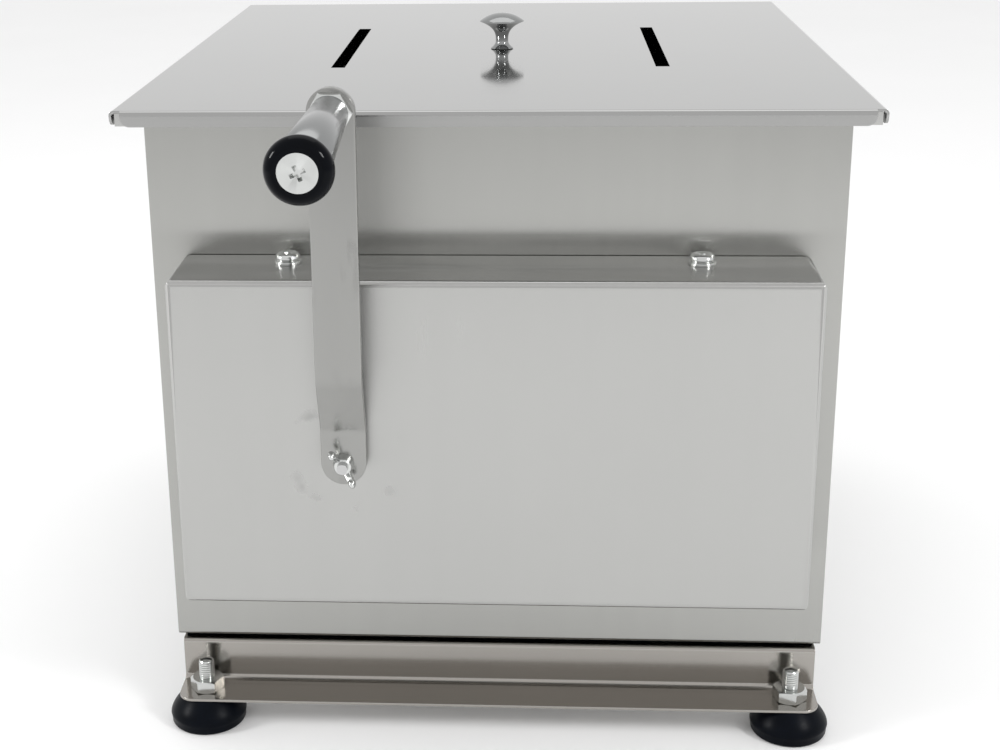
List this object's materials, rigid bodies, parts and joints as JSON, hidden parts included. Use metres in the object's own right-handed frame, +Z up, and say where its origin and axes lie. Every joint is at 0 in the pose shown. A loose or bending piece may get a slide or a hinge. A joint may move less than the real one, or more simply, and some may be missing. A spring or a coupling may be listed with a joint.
{
  "type": "manual meat mixer",
  "caption": "Hand-cranked twin-shaft stainless meat mixer with a double-trough tank, counter-turning paddles, front gear cover and a lift-off slotted lid.",
  "frame": {"origin": "on the floor, under the middle of the whole object's bounding box at rest (crank upright)", "axes": "+X to the right as seen from the crank side, +Y from the crank side to the back along both shafts, +Z up"},
  "size_m": [0.357, 0.5601, 0.3415],
  "materials": {
    "plate_steel": "satin, faint upright brushing",
    "tank_steel": "satin",
    "rail_steel": "satin, slightly darker",
    "cover_steel": "satin, brushed across",
    "lid_steel": "fine satin with soft reflections",
    "arm_steel": "brushed along the arm",
    "shaft_steel": "turned",
    "gear_steel": "machined, lightly greased",
    "polished_steel": "polished",
    "zinc_plate": "bright zinc plate",
    "foot_rubber": "dull black",
    "black_plastic": "glossy black",
    "nylon": "matt off-white"
  },
  "bodies": {
    "frame": {"front_plate": "plate_steel", "back_plate": "plate_steel", "tank_wall": "tank_steel", "tank_rim": "tank_steel", "front_rail": "rail_steel", "rear_rail": "rail_steel", "front_packing": "foot_rubber", "rear_packing": "foot_rubber", "base_screws": "zinc_plate", "base_nuts": "zinc_plate", "feet": "foot_rubber", "foot_studs": "zinc_plate", "foot_nuts": "zinc_plate", "upper_bracket": "rail_steel", "lower_bracket": "rail_steel", "bracket_nuts": "zinc_plate", "gear_cover": "cover_steel", "cover_screws": "zinc_plate", "cover_washers": "zinc_plate", "cover_bush": "nylon", "front_bushes": "nylon", "shaft_seals": "foot_rubber", "rear_bushes": "nylon", "rear_cups": "tank_steel"},
    "drive": {"drive_shaft": "shaft_steel", "drive_paddles": "shaft_steel", "drive_gear": "gear_steel", "drive_key": "gear_steel", "drive_ring": "gear_steel", "crank_arm": "arm_steel", "wing_nut": "zinc_plate", "grip_axle": "shaft_steel", "grip_lock_nut": "polished_steel", "grip_screw": "zinc_plate"},
    "driven": {"driven_shaft": "shaft_steel", "driven_paddles": "shaft_steel", "driven_gear": "gear_steel", "driven_key": "gear_steel", "driven_ring": "gear_steel"},
    "grip": {"grip_tube": "polished_steel", "grip_bush": "nylon", "grip_end_cap": "black_plastic"},
    "lid": {"lid": "lid_steel", "lid_knob": "polished_steel", "knob_screw": "zinc_plate", "knob_washer": "zinc_plate"}
  },
  "joints": [
    {"name": "crank_turn", "type": "hinge", "parent": "frame", "child": "drive", "pos_m": [-0.069, -0.11, 0.1625], "axis": [0, -1, 0], "continuous": true},
    {"name": "driven_turn", "type": "hinge", "parent": "frame", "child": "driven", "pos_m": [0.069, -0.11, 0.1625], "axis": [0, -1, 0], "continuous": true},
    {"name": "grip_spin", "type": "hinge", "parent": "drive", "child": "grip", "pos_m": [-0.06753, -0.179, 0.33099], "axis": [-0.0003, -0.9994, -0.0349], "continuous": true},
    {"name": "lid_lift", "type": "slide", "parent": "frame", "child": "lid", "axis": [0, 0, 1], "range_m": [0, 0.15]}
  ],
  "couplings": [
    {"joint": "driven_turn", "follows": "crank_turn", "ratio": -1}
  ]
}
